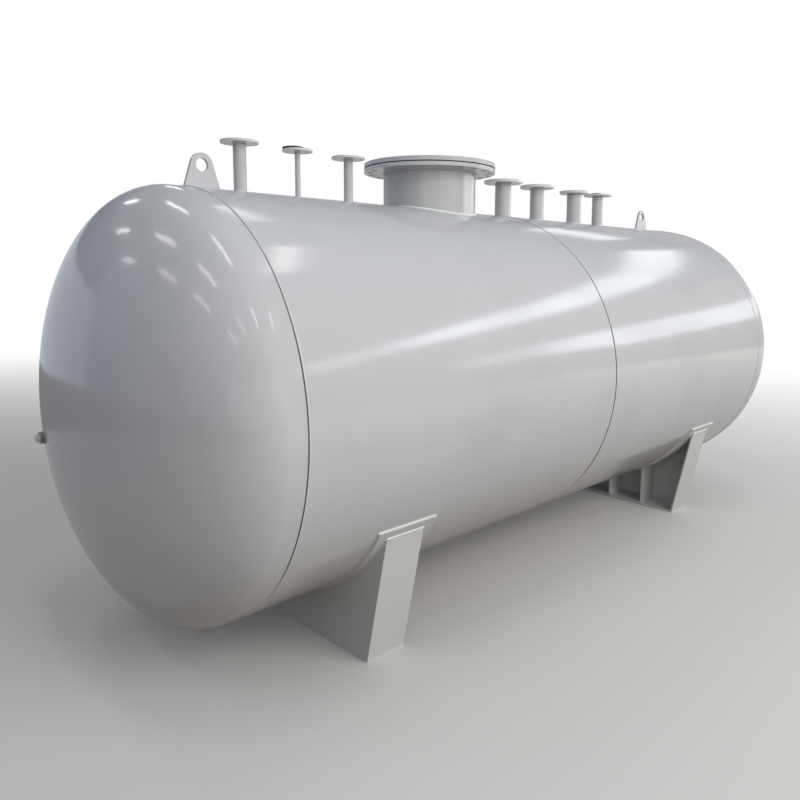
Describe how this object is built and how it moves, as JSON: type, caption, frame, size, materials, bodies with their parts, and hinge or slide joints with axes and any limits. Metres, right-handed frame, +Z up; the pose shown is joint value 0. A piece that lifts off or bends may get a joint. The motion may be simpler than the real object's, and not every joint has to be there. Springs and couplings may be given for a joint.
{
  "type": "horizontal pressure tank",
  "caption": "Horizontal cylindrical pressure tank with dished ends on two fabricated saddles, with a covered manhole, flanged top nozzles and lifting lugs.",
  "frame": {"origin": "on the floor under the middle of the tank", "axes": "+X along the tank towards the far head, +Z up"},
  "size_m": [4.946, 1.8252, 2.252],
  "materials": {
    "tank_paint": "gloss",
    "gasket_rubber": "matte",
    "bare_steel": "satin"
  },
  "bodies": {
    "root": {"near_head": "tank_paint", "far_head": "tank_paint", "near_shell_course": "tank_paint", "far_shell_course": "tank_paint", "near_seam_weld": "tank_paint", "middle_seam_weld": "tank_paint", "far_seam_weld": "tank_paint", "manhole_neck": "tank_paint", "manhole_flange": "tank_paint", "manhole_gasket": "gasket_rubber", "manhole_cover": "tank_paint", "near_lifting_lug": "tank_paint", "far_lifting_lug": "tank_paint", "head_coupling": "tank_paint", "head_plug": "bare_steel", "first_nozzle_pipe": "tank_paint", "first_nozzle_flange": "tank_paint", "second_nozzle_pipe": "tank_paint", "second_nozzle_flange": "tank_paint", "third_nozzle_pipe": "tank_paint", "third_nozzle_flange": "tank_paint", "fourth_nozzle_pipe": "tank_paint", "fourth_nozzle_flange": "tank_paint", "fifth_nozzle_pipe": "tank_paint", "fifth_nozzle_flange": "tank_paint", "sixth_nozzle_pipe": "tank_paint", "sixth_nozzle_flange": "tank_paint", "seventh_nozzle_pipe": "tank_paint", "seventh_nozzle_flange": "tank_paint", "near_saddle_wear_plate": "tank_paint", "near_saddle_web": "tank_paint", "near_saddle_front_end_plate": "tank_paint", "near_saddle_back_end_plate": "tank_paint", "near_saddle_ribs": "tank_paint", "near_saddle_base_plate": "tank_paint", "far_saddle_wear_plate": "tank_paint", "far_saddle_web": "tank_paint", "far_saddle_front_end_plate": "tank_paint", "far_saddle_back_end_plate": "tank_paint", "far_saddle_ribs": "tank_paint", "far_saddle_base_plate": "tank_paint"}
  },
  "joints": []
}
